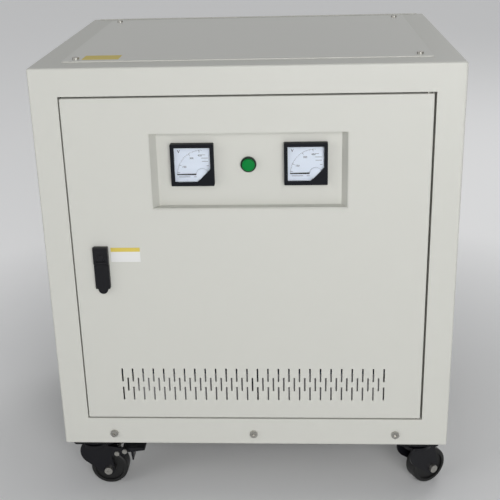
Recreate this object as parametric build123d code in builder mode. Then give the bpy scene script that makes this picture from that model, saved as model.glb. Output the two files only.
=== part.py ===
"""Dry type three-phase transformer in a wheeled sheet-steel enclosure.

Millimetres. +Z is up, -Y is the door side, and the origin is on the floor under the middle of the cabinet.
"""

from build123d import *
import math
import os

# ---------------------------------------------------------------- enclosure
case_width = 750.0
case_depth = 580.0
case_height = 750.0
sheet = 2.0
bend_radius = 4.0
side_border = 50.0  # frame width left and right of the door and the panels
top_border = 50.0
bottom_border = 58.0
panel_lip = 14.0  # ledge behind each opening
floor_ring_x = 95.0  # floor left standing at each side
floor_ring_y = 95.0

# ---------------------------------------------------------------- top cover
cover_sheet = 2.0
cover_border = 50.0
cover_back_border = 40.0
cover_overlap = 34.0  # how far the cover lies over the frame
cover_screw_inset = 21.5
cover_screw_dia = 6.0

# ---------------------------------------------------------------- door
door_sheet = 1.5
door_flange = 16.0
door_stop_depth = 24.0
gap_latch = 2.2
gap_hinge = 3.8
gap_top = 3.3
gap_sill = 2.5
pivot_inset = 10.0  # pivot axis from the door's hinge edge
pivot_setback = 8.0  # pivot axis behind the door's face
pivot_pin_dia = 6.0
pivot_clearance = 0.1
pivot_collar_dia = 12.0

# ---------------------------------------------------------------- louvre slots
slot_width = 3.0
slot_length = 28.5
slot_pitch = 20.0
slot_row_pitch = 20.0
slot_count = 26  # in the door's longer rows
slot_centre_height = 134.5  # middle row above the cabinet's underside
panel_slot_count = 17
panel_slot_height = 560.0

# ---------------------------------------------------------------- instrument tray
tray_width = 350.0
tray_height = 140.5
tray_depth = 22.0
tray_draft_x = 11.0  # each side wall leans in by this much
tray_draft_z = 0.5
tray_rim = 12.0
tray_offset_x = 3.0
tray_centre_height = 563.0

# ---------------------------------------------------------------- meters and lamp
meter_face = 77.0
meter_stand = 12.0  # bezel in front of the tray floor
meter_body = 66.0
meter_body_depth = 42.0
meter_window = 64.0
meter_corner = 24.0  # cut corner of the window
meter_pocket = 8.5
meter_spacing = 100.5  # each meter from the lamp
meter_raise = 8.5  # meters above the tray's middle
dial_thickness = 1.0
lens_thickness = 1.5
lens_setback = 0.6
pointer_length = 45.0
pointer_width = 2.6
pointer_pivot_x = 17.0
pointer_pivot_z = -18.0
pointer_hub_dia = 6.0
hub_cover_dia = 21.0
hub_cover_thickness = 1.0
hub_cover_gap = 0.4  # in front of the pointer
pointer_pin_dia = 1.6
lamp_raise = 7.0
lamp_shift = -1.0
lamp_bezel_dia = 28.0
lamp_bezel_height = 6.0
lamp_lens_dia = 23.0
lamp_lens_height = 4.0
lamp_body_dia = 22.0
lamp_body_length = 34.0
lamp_nut_dia = 28.0
lamp_nut_height = 5.0

# ---------------------------------------------------------------- door lock
lock_x = -271.3
lock_top_height = 422.0
lock_width = 27.5
lock_length = 82.0
lock_plate = 2.5
lock_axis_drop = 20.0  # spindle axis below the top edge
lock_head_length = 34.0
lock_head_height = 7.5
lock_grip_thickness = 5.0
lock_tab_radius = 9.0
lock_tab_drop = 10.0
lock_button_dia = 13.0
lock_button_proud = 1.2
lock_button_travel = 1.0
lock_barrel_dia = 22.0
lock_spindle_dia = 12.0
lock_nut_dia = 28.0
lock_nut_height = 4.0
lock_cam_reach = 46.0
lock_cam_width = 18.0
lock_cam_thickness = 3.0
lock_cam_clearance = 1.0
lock_fit = 0.3

# ---------------------------------------------------------------- base rails
rail_spacing = 275.0
rail_width = 20.0
rail_height = 44.0
rail_wall = 2.5
front_bolt_dia = 8.0
front_bolt_head = 15.0
front_bolt_head_height = 4.5
front_bolt_length = 22.0
pad_thickness = 8.0
pad_width = 40.0
pad_length = 44.0

# ---------------------------------------------------------------- core and windings
limb_width = 100.0
core_stack = 130.0
window_width = 115.0
window_height = 280.0
yoke_height = 100.0
core_lift = 10.0  # yoke above the clamp's underside
winding_height = 250.0
lv_gap = 4.0
lv_build = 20.0
duct_x = 8.0
duct_y = 24.0
hv_build = 22.0
stick_width = 10.0

# ---------------------------------------------------------------- clamps
clamp_length = 700.0
clamp_height = 75.0
clamp_depth = 46.0
clamp_web = 5.0
yoke_bolt_dia = 12.0
yoke_bolt_clearance = 0.5
yoke_bolt_outer_x = 295.0
tie_rod_x = 335.0
tie_rod_dia = 12.0
nut_height = 9.0
nut_across = 19.0
block_width = 44.0

# ---------------------------------------------------------------- terminals
board_length = 660.0
board_height = 50.0
board_thickness = 12.0
board_front_gap = 4.0  # board behind the windings' front face
lower_board_height = 585.0
board_pitch = 75.0
terminal_dia = 10.0
terminal_free = 30.0
lead_width = 25.0
lead_thickness = 3.0
phase_shift = 45.0
bracket_x = 305.0
bracket_width = 30.0
bracket_thickness = 4.0

# ---------------------------------------------------------------- casters
caster_height = 108.0
caster_inset_x = 54.0
caster_inset_y = 35.0
caster_trail = 25.0
caster_plate_length = 80.0
caster_plate_width = 66.0
caster_plate_thickness = 4.0
caster_bolt_x = 28.5
caster_bolt_y = 22.0
caster_bolt_dia = 8.0
raceway_dia = 60.0
raceway_height = 7.0
raceway_gap = 0.3
kingpin_dia = 12.0
kingpin_clearance = 0.1
crown_thickness = 7.0
wheel_radius = 37.5
wheel_width = 32.0
wheel_bore_clearance = 0.1
fork_clearance = 3.0
fork_leg = 4.0
fork_boss_radius = 13.0
axle_dia = 10.0
axle_head_dia = 16.0
axle_head_height = 6.0
pedal_pivot_x = 60.0
pedal_pivot_height = 81.0
rivet_x = 44.0
rivet_height = 76.0
shoe_reach = 14.2
pedal_reach = 38.0
pedal_swing_rest = 25.0  # shoe short of the wheel's centre line, degrees
pedal_pin_dia = 6.0

# ---------------------------------------------------------------- worked out
front = -case_depth / 2
back = case_depth / 2
base = caster_height
top = base + case_height
floor_top = base + sheet

door_way_width = case_width - 2 * side_border
door_way_height = case_height - top_border - bottom_border
door_way_low = base + bottom_border
door_way_high = top - top_border
door_way_mid = (door_way_low + door_way_high) / 2
side_way_width = case_depth - 2 * side_border

door_left = -door_way_width / 2 + gap_latch
door_right = door_way_width / 2 - gap_hinge
door_low = door_way_low + gap_sill
door_high = door_way_high - gap_top
door_mid_x = (door_left + door_right) / 2
door_mid_z = (door_low + door_high) / 2
pivot_x = door_right - pivot_inset
pivot_y = front + pivot_setback

tray_z = base + tray_centre_height
tray_floor_y = front + tray_depth  # back face of the tray's floor
tray_face_y = tray_floor_y - door_sheet  # front face of the tray's floor
meter_z = tray_z + meter_raise
meter_xs = (tray_offset_x - meter_spacing, tray_offset_x + meter_spacing)
meter_front_y = tray_face_y - meter_stand
lamp_x = tray_offset_x + lamp_shift
lamp_z = tray_z + lamp_raise
pocket_floor_y = meter_front_y + meter_pocket

lock_top = base + lock_top_height
lock_low = lock_top - lock_length
lock_axis_z = lock_top - lock_axis_drop
lock_plate_y = front - lock_plate
lock_head_low = lock_top - lock_head_length

rail_top = floor_top + rail_height
clamp_low = rail_top + pad_thickness
core_low = clamp_low + core_lift
window_low = core_low + yoke_height
window_high = window_low + window_height
core_high = window_high + yoke_height
limb_pitch = limb_width + window_width
core_width = 2 * limb_pitch + limb_width
winding_low = window_low + (window_height - winding_height) / 2
winding_high = winding_low + winding_height
lower_clamp_high = clamp_low + clamp_height
upper_clamp_high = core_high - core_lift
upper_clamp_low = upper_clamp_high - clamp_height
hv_half_y = core_stack / 2 + lv_gap + lv_build + duct_y + hv_build
board_back_y = -(hv_half_y - board_front_gap)
board_face_y = board_back_y - board_thickness
lower_board_z = base + lower_board_height
upper_board_z = lower_board_z + board_pitch

pieces = []


def keep(part, label):
    """Names a finished piece and puts it on the list to be written."""
    part.label = label
    pieces.append(part)


def facing(y):
    """Drawing plane parallel to the door, seen from the front. Positive extrusion comes forward."""
    return Plane(origin=(0, y, 0), x_dir=(1, 0, 0), z_dir=(0, -1, 0))


def sideways(x):
    """Drawing plane across the cabinet, seen from the right: its x is +Y and its y is +Z."""
    return Plane(origin=(x, 0, 0), x_dir=(0, 1, 0), z_dir=(1, 0, 0))


def slot_rows(count, centre_x, centre_z):
    """Three staggered rows of upright slots, drawn in the current sketch."""
    for row, number in ((1, count), (0, count - 1), (-1, count)):
        with Locations((centre_x, centre_z + row * slot_row_pitch)):
            with GridLocations(slot_pitch, 1, number, 1):
                Rectangle(slot_width, slot_length)


# ================================================================ enclosure frame
cover_length = case_width - 2 * cover_border
cover_width = case_depth - cover_border - cover_back_border
cover_y = (cover_border - cover_back_border) / 2
screw_grid_x = cover_length - 2 * cover_screw_inset
screw_grid_y = cover_width - 2 * cover_screw_inset
panel_screw_y = side_way_width - panel_lip
back_screw_x = door_way_width - panel_lip
panel_screw_z = door_way_height - panel_lip
panel_screw_dia = 4.0
panel_screw_head = 8.0
screw_clearance = 0.25
caster_x = case_width / 2 - caster_inset_x
caster_y = case_depth / 2 - caster_inset_y
front_bolt_z = base + 24.5
rail_xs = (-rail_spacing, 0, rail_spacing)
plate_low = base - caster_plate_thickness
left_wall = Plane(origin=(-case_width / 2, 0, 0), x_dir=(0, -1, 0), z_dir=(-1, 0, 0))
right_wall = Plane(origin=(case_width / 2, 0, 0), x_dir=(0, 1, 0), z_dir=(1, 0, 0))
back_wall = Plane(origin=(0, back, 0), x_dir=(-1, 0, 0), z_dir=(0, 1, 0))


def ledge(plane, width, depth):
    """Adds the return flange round an opening, with the lip its panel or door closes against."""
    with BuildSketch(plane) as flange:
        with Locations((0, door_way_mid)):
            Rectangle(width + 2 * sheet, door_way_height + 2 * sheet)
            Rectangle(width, door_way_height, mode=Mode.SUBTRACT)
    extrude(flange.sketch, amount=-depth)
    with BuildSketch(plane.offset(-depth)) as lip:
        with Locations((0, door_way_mid)):
            Rectangle(width + 2 * sheet, door_way_height + 2 * sheet)
            Rectangle(width - 2 * panel_lip, door_way_height - 2 * panel_lip, mode=Mode.SUBTRACT)
    extrude(lip.sketch, amount=-sheet)


def opening(plane, width):
    """Cuts the wall behind the plane."""
    with BuildSketch(plane) as hole:
        with Locations((0, door_way_mid)):
            Rectangle(width, door_way_height)
    extrude(hole.sketch, amount=-bend_radius, mode=Mode.SUBTRACT)


with BuildPart() as enclosure_frame:
    with Locations((0, 0, base)):
        Box(case_width, case_depth, case_height, align=(Align.CENTER, Align.CENTER, Align.MIN))
    fillet(enclosure_frame.edges(), radius=bend_radius)
    offset(amount=-sheet, mode=Mode.SUBTRACT)
    with BuildSketch(Plane.XY.offset(top)):
        with Locations((0, cover_y)):
            Rectangle(cover_length - 2 * cover_overlap, cover_width - 2 * cover_overlap)
    extrude(amount=-bend_radius, mode=Mode.SUBTRACT)
    with BuildSketch(Plane.XY.offset(base)):
        Rectangle(case_width - 2 * floor_ring_x, case_depth - 2 * floor_ring_y)
    extrude(amount=bend_radius, mode=Mode.SUBTRACT)
    opening(facing(front), door_way_width)
    opening(left_wall, side_way_width)
    opening(right_wall, side_way_width)
    opening(back_wall, door_way_width)
    ledge(facing(front), door_way_width, door_stop_depth)
    ledge(left_wall, side_way_width, sheet)
    ledge(right_wall, side_way_width, sheet)
    ledge(back_wall, door_way_width, sheet)
    with Locations((0, cover_y, top)):
        with GridLocations(screw_grid_x, screw_grid_y, 2, 2):
            Cylinder(cover_screw_dia / 2, 2 * bend_radius, mode=Mode.SUBTRACT)
    with BuildSketch(left_wall, right_wall):
        with Locations((0, door_way_mid)):
            with GridLocations(panel_screw_y, panel_screw_z / 2, 2, 3):
                Circle(panel_screw_dia / 2)
    extrude(amount=-3 * sheet, mode=Mode.SUBTRACT)
    with BuildSketch(back_wall):
        with Locations((0, door_way_mid)):
            with GridLocations(back_screw_x, panel_screw_z / 2, 2, 3):
                Circle(panel_screw_dia / 2)
    extrude(amount=-3 * sheet, mode=Mode.SUBTRACT)
    with BuildSketch(facing(front)):
        with Locations(*[(x, front_bolt_z) for x in rail_xs]):
            Circle(front_bolt_dia / 2 + screw_clearance)
    extrude(amount=-2 * sheet, mode=Mode.SUBTRACT)
    with Locations((pivot_x, pivot_y, door_way_low), (pivot_x, pivot_y, door_way_high)):
        Cylinder(pivot_pin_dia / 2, 3 * sheet, mode=Mode.SUBTRACT)
    with Locations((0, 0, base)):
        with GridLocations(2 * caster_x, 2 * caster_y, 2, 2):
            with GridLocations(2 * caster_bolt_x, 2 * caster_bolt_y, 2, 2):
                Cylinder(caster_bolt_dia / 2 + screw_clearance, 3 * sheet, mode=Mode.SUBTRACT)
keep(enclosure_frame.part, "enclosure_frame")

# ================================================================ removable panels
with BuildPart() as top_cover:
    with Locations((0, cover_y, top)):
        Box(cover_length, cover_width, cover_sheet, align=(Align.CENTER, Align.CENTER, Align.MIN))
    fillet(top_cover.edges().filter_by(Axis.Z), radius=3)
    fillet(top_cover.faces().sort_by(Axis.Z)[-1].edges(), radius=0.8)
    with Locations((0, cover_y, top)):
        with GridLocations(screw_grid_x, screw_grid_y, 2, 2):
            Cylinder(cover_screw_dia / 2 + screw_clearance, 3 * cover_sheet, mode=Mode.SUBTRACT)
keep(top_cover.part, "top_cover")

with BuildPart() as cover_screws:
    with Locations((0, cover_y, top + cover_sheet)):
        with GridLocations(screw_grid_x, screw_grid_y, 2, 2):
            Cylinder(cover_screw_dia, 3.5, align=(Align.CENTER, Align.CENTER, Align.MIN))
            Cylinder(cover_screw_dia / 2, 12, align=(Align.CENTER, Align.CENTER, Align.MAX))
            with Locations((0, 0, 3.5)):
                Box(9, 1.2, 2.4, mode=Mode.SUBTRACT)
                Box(1.2, 9, 2.4, mode=Mode.SUBTRACT)
keep(cover_screws.part, "cover_screws")

panel_gap = 1.0


def wall_panel(wall, width, count, screw_pitch):
    """Flat removable panel with slots low and high, drawn on its wall plane."""
    with BuildPart() as panel:
        with BuildSketch(wall):
            with Locations((0, door_way_mid)):
                RectangleRounded(width - 2 * panel_gap, door_way_height - 2 * panel_gap, 3)
                with GridLocations(screw_pitch, panel_screw_z / 2, 2, 3):
                    Circle(panel_screw_dia / 2 + screw_clearance, mode=Mode.SUBTRACT)
            for height in (slot_centre_height, panel_slot_height):
                for row, number in ((1, count), (0, count - 1), (-1, count)):
                    with Locations((0, base + height + row * slot_row_pitch)):
                        with GridLocations(slot_pitch, 1, number, 1):
                            Rectangle(slot_width, slot_length, mode=Mode.SUBTRACT)
        extrude(amount=-sheet)
    return panel.part


keep(wall_panel(left_wall, side_way_width, panel_slot_count, panel_screw_y), "left_panel")
keep(wall_panel(right_wall, side_way_width, panel_slot_count, panel_screw_y), "right_panel")
keep(wall_panel(back_wall, door_way_width, slot_count, back_screw_x), "back_panel")

with BuildPart() as panel_screws:
    for wall, pitch in ((left_wall, panel_screw_y), (right_wall, panel_screw_y), (back_wall, back_screw_x)):
        with BuildSketch(wall):
            with Locations((0, door_way_mid)):
                with GridLocations(pitch, panel_screw_z / 2, 2, 3):
                    Circle(panel_screw_head / 2)
        extrude(amount=2.4)
        with BuildSketch(wall):
            with Locations((0, door_way_mid)):
                with GridLocations(pitch, panel_screw_z / 2, 2, 3):
                    Circle(panel_screw_dia / 2)
        extrude(amount=-9)
keep(panel_screws.part, "panel_screws")

# ================================================================ base rails
rail_length = case_depth - 2 * sheet
rail_relief = 2.2
with BuildPart() as base_rails:
    with Locations(*[(x, 0, floor_top) for x in rail_xs]):
        Box(rail_width, rail_length, rail_height, align=(Align.CENTER, Align.CENTER, Align.MIN))
    chamfer(base_rails.edges().filter_by(Axis.X).group_by(Axis.Z)[0], length=rail_relief)
    with Locations(*[(x, 0, floor_top) for x in rail_xs]):
        Box(rail_width - 2 * rail_wall, rail_length - 2 * rail_wall, rail_height - rail_wall,
            align=(Align.CENTER, Align.CENTER, Align.MIN), mode=Mode.SUBTRACT)
    with BuildSketch(facing(front)):
        with Locations(*[(x, front_bolt_z) for x in rail_xs]):
            Circle(front_bolt_dia / 2)
    extrude(amount=-4 * rail_wall, mode=Mode.SUBTRACT)
keep(base_rails.part, "base_rails")

with BuildPart() as front_bolts:
    with BuildSketch(facing(front)):
        with Locations(*[(x, front_bolt_z) for x in rail_xs]):
            Circle(front_bolt_head / 2)
    extrude(amount=front_bolt_head_height)
    with BuildSketch(facing(front)):
        with Locations(*[(x, front_bolt_z) for x in rail_xs]):
            Circle(front_bolt_dia / 2)
    extrude(amount=-front_bolt_length)
    with BuildSketch(facing(front - front_bolt_head_height)):
        with Locations(*[(x, front_bolt_z) for x in rail_xs]):
            RegularPolygon(3.4, 6)
    extrude(amount=-3, mode=Mode.SUBTRACT)
keep(front_bolts.part, "front_bolts")

# ================================================================ core
core_windows = (-limb_pitch / 2, limb_pitch / 2)
lower_bolt_z = clamp_low + clamp_height / 2
upper_bolt_z = upper_clamp_low + clamp_height / 2
phases = (-limb_pitch, 0, limb_pitch)

with BuildPart() as core:
    with BuildSketch(facing(-core_stack / 2)):
        with Locations((0, (core_low + core_high) / 2)):
            Rectangle(core_width, core_high - core_low)
        with Locations(*[(x, (window_low + window_high) / 2) for x in core_windows]):
            Rectangle(window_width, window_height, mode=Mode.SUBTRACT)
        with Locations(*[(x, z) for x in core_windows for z in (lower_bolt_z, upper_bolt_z)]):
            Circle(yoke_bolt_dia / 2 + yoke_bolt_clearance, mode=Mode.SUBTRACT)
    extrude(amount=-core_stack)
keep(core.part, "core")


def winding(hole_x, hole_y, build_x, build_y, corner):
    """Three rectangular coils with rounded corners, one on each limb."""
    with BuildPart() as coils:
        with BuildSketch(Plane.XY.offset(winding_low)):
            with Locations(*[(x, 0) for x in phases]):
                RectangleRounded(hole_x + 2 * build_x, hole_y + 2 * build_y, corner)
                RectangleRounded(hole_x, hole_y, max(corner - build_x, 3), mode=Mode.SUBTRACT)
        extrude(amount=winding_height)
    return coils.part


lv_x = limb_width + 2 * lv_gap
lv_y = core_stack + 2 * lv_gap
hv_x = lv_x + 2 * lv_build + 2 * duct_x
hv_y = lv_y + 2 * lv_build + 2 * duct_y
keep(winding(lv_x, lv_y, lv_build, lv_build, 24), "inner_windings")
keep(winding(hv_x, hv_y, hv_build, hv_build, 40), "outer_windings")

with BuildPart() as duct_sticks:
    with BuildSketch(Plane.XY.offset(winding_low)):
        for y in (-(hv_y - duct_y) / 2, (hv_y - duct_y) / 2):
            with Locations(*[(x, y) for x in phases]):
                with GridLocations(32, 1, 3, 1):
                    Rectangle(stick_width, duct_y)
        with Locations(*[(x, 0) for x in phases]):
            with GridLocations(limb_width + lv_gap, 60, 2, 2):
                Rectangle(lv_gap, stick_width)
    extrude(amount=winding_height)
keep(duct_sticks.part, "duct_sticks")

# ================================================================ clamps
clamp_y = core_stack / 2


def clamp_pair(low):
    """Two channels against the core, flanges outward."""
    with BuildPart() as pair:
        with BuildSketch(sideways(-clamp_length / 2)):
            for side in (-1, 1):
                with Locations((side * (clamp_y + clamp_depth / 2), low + clamp_height / 2)):
                    Rectangle(clamp_depth, clamp_height)
                with Locations((side * (clamp_y + (clamp_depth + clamp_web) / 2), low + clamp_height / 2)):
                    Rectangle(clamp_depth - clamp_web, clamp_height - 2 * clamp_web, mode=Mode.SUBTRACT)
        extrude(amount=clamp_length)
        with BuildSketch(facing(-case_depth / 2)):
            with Locations(*[(x, low + clamp_height / 2) for x in core_windows]):
                Circle(yoke_bolt_dia / 2 + yoke_bolt_clearance)
            with Locations((-yoke_bolt_outer_x, low + clamp_height / 2), (yoke_bolt_outer_x, low + clamp_height / 2)):
                Circle(yoke_bolt_dia / 2 + yoke_bolt_clearance)
        extrude(amount=-case_depth, mode=Mode.SUBTRACT)
        with BuildSketch(Plane.XY.offset(low - 1)):
            with GridLocations(2 * tie_rod_x, 2 * tie_rod_y, 2, 2):
                Circle(tie_rod_dia / 2 + yoke_bolt_clearance)
        extrude(amount=clamp_height + 2, mode=Mode.SUBTRACT)
    return pair.part


tie_rod_y = clamp_y + clamp_web + 20.0
keep(clamp_pair(clamp_low), "lower_clamps")
keep(clamp_pair(upper_clamp_low), "upper_clamps")

with BuildPart() as yoke_bolts:
    bolt_xs = (-yoke_bolt_outer_x, *core_windows, yoke_bolt_outer_x)
    bolt_spots = [(x, z) for x in bolt_xs for z in (lower_bolt_z, upper_bolt_z)]
    bolt_end = clamp_y + clamp_web + nut_height + 6
    with BuildSketch(facing(-bolt_end)):
        with Locations(*bolt_spots):
            Circle(yoke_bolt_dia / 2)
    extrude(amount=-2 * bolt_end)
    with BuildSketch(facing(-(clamp_y + clamp_web)), facing(clamp_y + clamp_web + nut_height)):
        with Locations(*bolt_spots):
            RegularPolygon(nut_across / 2, 6, major_radius=False)
    extrude(amount=nut_height)
keep(yoke_bolts.part, "yoke_bolts")

with BuildPart() as tie_rods:
    with BuildSketch(Plane.XY.offset(clamp_low + clamp_web)):
        with GridLocations(2 * tie_rod_x, 2 * tie_rod_y, 2, 2):
            RegularPolygon(nut_across / 2, 6, major_radius=False)
    extrude(amount=nut_height)
    with BuildSketch(Plane.XY.offset(upper_clamp_high)):
        with GridLocations(2 * tie_rod_x, 2 * tie_rod_y, 2, 2):
            RegularPolygon(nut_across / 2, 6, major_radius=False)
    extrude(amount=nut_height)
    with BuildSketch(Plane.XY.offset(clamp_low)):
        with GridLocations(2 * tie_rod_x, 2 * tie_rod_y, 2, 2):
            Circle(tie_rod_dia / 2)
    extrude(amount=upper_clamp_high - clamp_low + nut_height + 6)
keep(tie_rods.part, "tie_rods")

with BuildPart() as winding_blocks:
    block_depth = clamp_depth - 6
    for low, high in ((lower_clamp_high, winding_low), (winding_high, upper_clamp_low)):
        for side in (-1, 1):
            with Locations(*[(x, side * (clamp_y + 6 + block_depth / 2), low) for x in phases]):
                Box(block_width, block_depth, high - low, align=(Align.CENTER, Align.CENTER, Align.MIN))
keep(winding_blocks.part, "winding_blocks")

with BuildPart() as core_pads:
    with Locations((0, 0, rail_top)):
        with GridLocations(2 * rail_spacing, 2 * (clamp_y + clamp_depth / 2), 2, 2):
            Box(pad_width, pad_length, pad_thickness, align=(Align.CENTER, Align.CENTER, Align.MIN))
keep(core_pads.part, "core_pads")

# ================================================================ terminals
with BuildPart() as terminal_boards:
    for z in (lower_board_z, upper_board_z):
        with Locations((0, board_face_y, z)):
            Box(board_length, board_thickness, board_height, align=(Align.CENTER, Align.MIN, Align.CENTER))
    fillet(terminal_boards.edges().filter_by(Axis.Y), radius=4)
    with BuildSketch(facing(board_face_y)):
        with Locations(*[(x - phase_shift, lower_board_z) for x in phases]):
            Circle(terminal_dia / 2 + screw_clearance)
        with Locations(*[(x + phase_shift, upper_board_z) for x in phases]):
            Circle(terminal_dia / 2 + screw_clearance)
        with Locations(*[(x, z) for x in (-bracket_x, bracket_x) for z in (lower_board_z, upper_board_z)]):
            Circle(3.25)
    extrude(amount=-board_thickness, mode=Mode.SUBTRACT)
keep(terminal_boards.part, "terminal_boards")

bracket_foot = clamp_y + clamp_web + 8.0
bracket_top = upper_board_z + board_height / 2 + 5
with BuildPart() as board_brackets:
    for x in (-bracket_x, bracket_x):
        with BuildSketch(sideways(x - bracket_width / 2)):
            Polygon(
                (-bracket_foot, upper_clamp_high),
                (-bracket_foot, upper_clamp_high + bracket_thickness),
                (board_back_y + bracket_thickness, upper_clamp_high + bracket_thickness),
                (board_back_y + bracket_thickness, bracket_top),
                (board_back_y, bracket_top),
                (board_back_y, upper_clamp_high),
                align=None,
            )
        extrude(amount=bracket_width)
    with BuildSketch(facing(board_back_y)):
        with Locations(*[(x, z) for x in (-bracket_x, bracket_x) for z in (lower_board_z, upper_board_z)]):
            Circle(3.25)
    extrude(amount=-bracket_thickness, mode=Mode.SUBTRACT)
keep(board_brackets.part, "board_brackets")

with BuildPart() as board_bolts:
    board_spots = [(x, z) for x in (-bracket_x, bracket_x) for z in (lower_board_z, upper_board_z)]
    with BuildSketch(facing(board_face_y)):
        with Locations(*board_spots):
            Circle(6)
    extrude(amount=4)
    with BuildSketch(facing(board_face_y)):
        with Locations(*board_spots):
            Circle(3)
    extrude(amount=-(board_thickness + bracket_thickness + 8))
    with BuildSketch(facing(board_back_y + bracket_thickness)):
        with Locations(*board_spots):
            RegularPolygon(5, 6, major_radius=False)
    extrude(amount=-5)
keep(board_bolts.part, "board_bolts")


def terminal_row(spots):
    """Studs through the board and the lead, with a nut and washer on both sides."""
    lead_back = board_back_y + lead_thickness
    with BuildPart() as row:
        with BuildSketch(facing(board_face_y - terminal_free)):
            with Locations(*spots):
                Circle(terminal_dia / 2)
        extrude(amount=-(terminal_free + board_thickness + lead_thickness + 12))
        with BuildSketch(facing(board_face_y)):
            with Locations(*spots):
                Circle(terminal_dia)
        extrude(amount=2)
        with BuildSketch(facing(board_face_y - 2), facing(lead_back + 8)):
            with Locations(*spots):
                RegularPolygon(8, 6, major_radius=False)
        extrude(amount=8)
    return row.part


input_spots = [(x - phase_shift, lower_board_z) for x in phases]
output_spots = [(x + phase_shift, upper_board_z) for x in phases]
keep(terminal_row(input_spots), "input_terminals")
keep(terminal_row(output_spots), "output_terminals")

lead_y = board_back_y + lead_thickness
lead_step_z = winding_high + 14
inner_lead_y = -(lv_y + lv_build) / 2
with BuildPart() as leads:
    for x in phases:
        with BuildSketch(sideways(x - phase_shift - lead_width / 2)):
            with Locations((board_back_y + lead_thickness / 2, (winding_high + lower_board_z + 16) / 2)):
                Rectangle(lead_thickness, lower_board_z + 16 - winding_high)
        extrude(amount=lead_width)
        with BuildSketch(sideways(x + phase_shift - lead_width / 2)):
            Polygon(
                (inner_lead_y, winding_high),
                (inner_lead_y, lead_step_z),
                (board_back_y, lead_step_z),
                (board_back_y, upper_board_z + 16),
                (lead_y, upper_board_z + 16),
                (lead_y, lead_step_z + lead_thickness),
                (inner_lead_y + lead_thickness, lead_step_z + lead_thickness),
                (inner_lead_y + lead_thickness, winding_high),
                align=None,
            )
        extrude(amount=lead_width)
    with BuildSketch(facing(board_back_y)):
        with Locations(*input_spots, *output_spots):
            Circle(terminal_dia / 2 + screw_clearance)
    extrude(amount=-lead_thickness, mode=Mode.SUBTRACT)
keep(leads.part, "leads")

earth_x = case_width / 2 - 40
with BuildPart() as earth_bar:
    with Locations((earth_x, 0, floor_top)):
        Box(25, 160, 5, align=(Align.CENTER, Align.CENTER, Align.MIN))
        with GridLocations(1, 50, 1, 3):
            Cylinder(4, 26, align=(Align.CENTER, Align.CENTER, Align.MIN))
            with Locations((0, 0, 5)):
                Cylinder(6.5, 6.5, align=(Align.CENTER, Align.CENTER, Align.MIN))
keep(earth_bar.part, "earth_bar")

# ================================================================ hinge pins
pin_reach = 8.0
pin_head = 3.0
with BuildPart() as hinge_pins:
    with Locations((pivot_x, pivot_y, door_way_low - sheet - pin_head)):
        Cylinder(5, pin_head, align=(Align.CENTER, Align.CENTER, Align.MIN))
        Cylinder(pivot_pin_dia / 2, pin_head + sheet + gap_sill + pin_reach, align=(Align.CENTER, Align.CENTER, Align.MIN))
    with Locations((pivot_x, pivot_y, door_way_low)):
        Cylinder(pivot_collar_dia / 2, gap_sill - 0.3, align=(Align.CENTER, Align.CENTER, Align.MIN))
    with Locations((pivot_x, pivot_y, door_way_high + sheet + pin_head)):
        Cylinder(5, pin_head, align=(Align.CENTER, Align.CENTER, Align.MAX))
        Cylinder(pivot_pin_dia / 2, pin_head + sheet + gap_top + pin_reach, align=(Align.CENTER, Align.CENTER, Align.MAX))
keep(hinge_pins.part, "hinge_pins")

# ================================================================ door
door_width = door_right - door_left
door_height = door_high - door_low
tray_open = (tray_width, tray_height)
tray_floor = (tray_width - 2 * tray_draft_x, tray_height - 2 * tray_draft_z)
with BuildPart() as door_panel:
    with BuildSketch(facing(front)):
        with Locations((door_mid_x, door_mid_z)):
            Rectangle(door_width, door_height)
    extrude(amount=-door_flange)
    fillet(door_panel.edges().filter_by(Axis.Y), radius=2.5)
    fillet(door_panel.faces().sort_by(Axis.Y)[0].edges(), radius=1.8)
    with BuildSketch(facing(front + door_sheet)):
        with Locations((door_mid_x, door_mid_z)):
            Rectangle(door_width - 2 * door_sheet, door_height - 2 * door_sheet)
    extrude(amount=-door_flange, mode=Mode.SUBTRACT)
    with BuildSketch(facing(front)):
        with Locations((tray_offset_x, tray_z)):
            Rectangle(*tray_open)
        slot_rows(slot_count, 0, base + slot_centre_height)
        with Locations((lock_x, lock_axis_z)):
            Circle(lock_barrel_dia / 2 + screw_clearance)
    extrude(amount=-2 * door_sheet, mode=Mode.SUBTRACT)
    with Locations((pivot_x, pivot_y, door_mid_z)):
        Cylinder(pivot_pin_dia / 2 + pivot_clearance, case_height, mode=Mode.SUBTRACT)
keep(door_panel.part, "door_panel")

tray_rim_y = front + door_sheet
with BuildPart() as instrument_tray:
    with BuildSketch(facing(tray_rim_y)):
        with Locations((tray_offset_x, tray_z)):
            Rectangle(tray_open[0], tray_open[1])
    with BuildSketch(facing(tray_floor_y)):
        with Locations((tray_offset_x, tray_z)):
            Rectangle(tray_floor[0] + 2 * door_sheet, tray_floor[1] + 2 * door_sheet)
    loft()
    with BuildSketch(facing(tray_rim_y)):
        with Locations((tray_offset_x, tray_z)):
            Rectangle(tray_open[0] + 2 * tray_rim, tray_open[1] + 2 * tray_rim)
    extrude(amount=-door_sheet)
    with BuildPart(mode=Mode.PRIVATE) as hollow:
        with BuildSketch(facing(tray_rim_y)):
            with Locations((tray_offset_x, tray_z)):
                Rectangle(tray_open[0] - 2 * door_sheet, tray_open[1] - 2 * door_sheet)
        with BuildSketch(facing(tray_face_y)):
            with Locations((tray_offset_x, tray_z)):
                Rectangle(tray_floor[0], tray_floor[1])
        loft()
    add(hollow.part, mode=Mode.SUBTRACT)
    with BuildSketch(facing(tray_face_y)):
        with Locations(*[(x, meter_z) for x in meter_xs]):
            Rectangle(meter_body, meter_body)
        with Locations((lamp_x, lamp_z)):
            Circle(lamp_body_dia / 2)
    extrude(amount=-2 * door_sheet, mode=Mode.SUBTRACT)
keep(instrument_tray.part, "instrument_tray")

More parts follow.
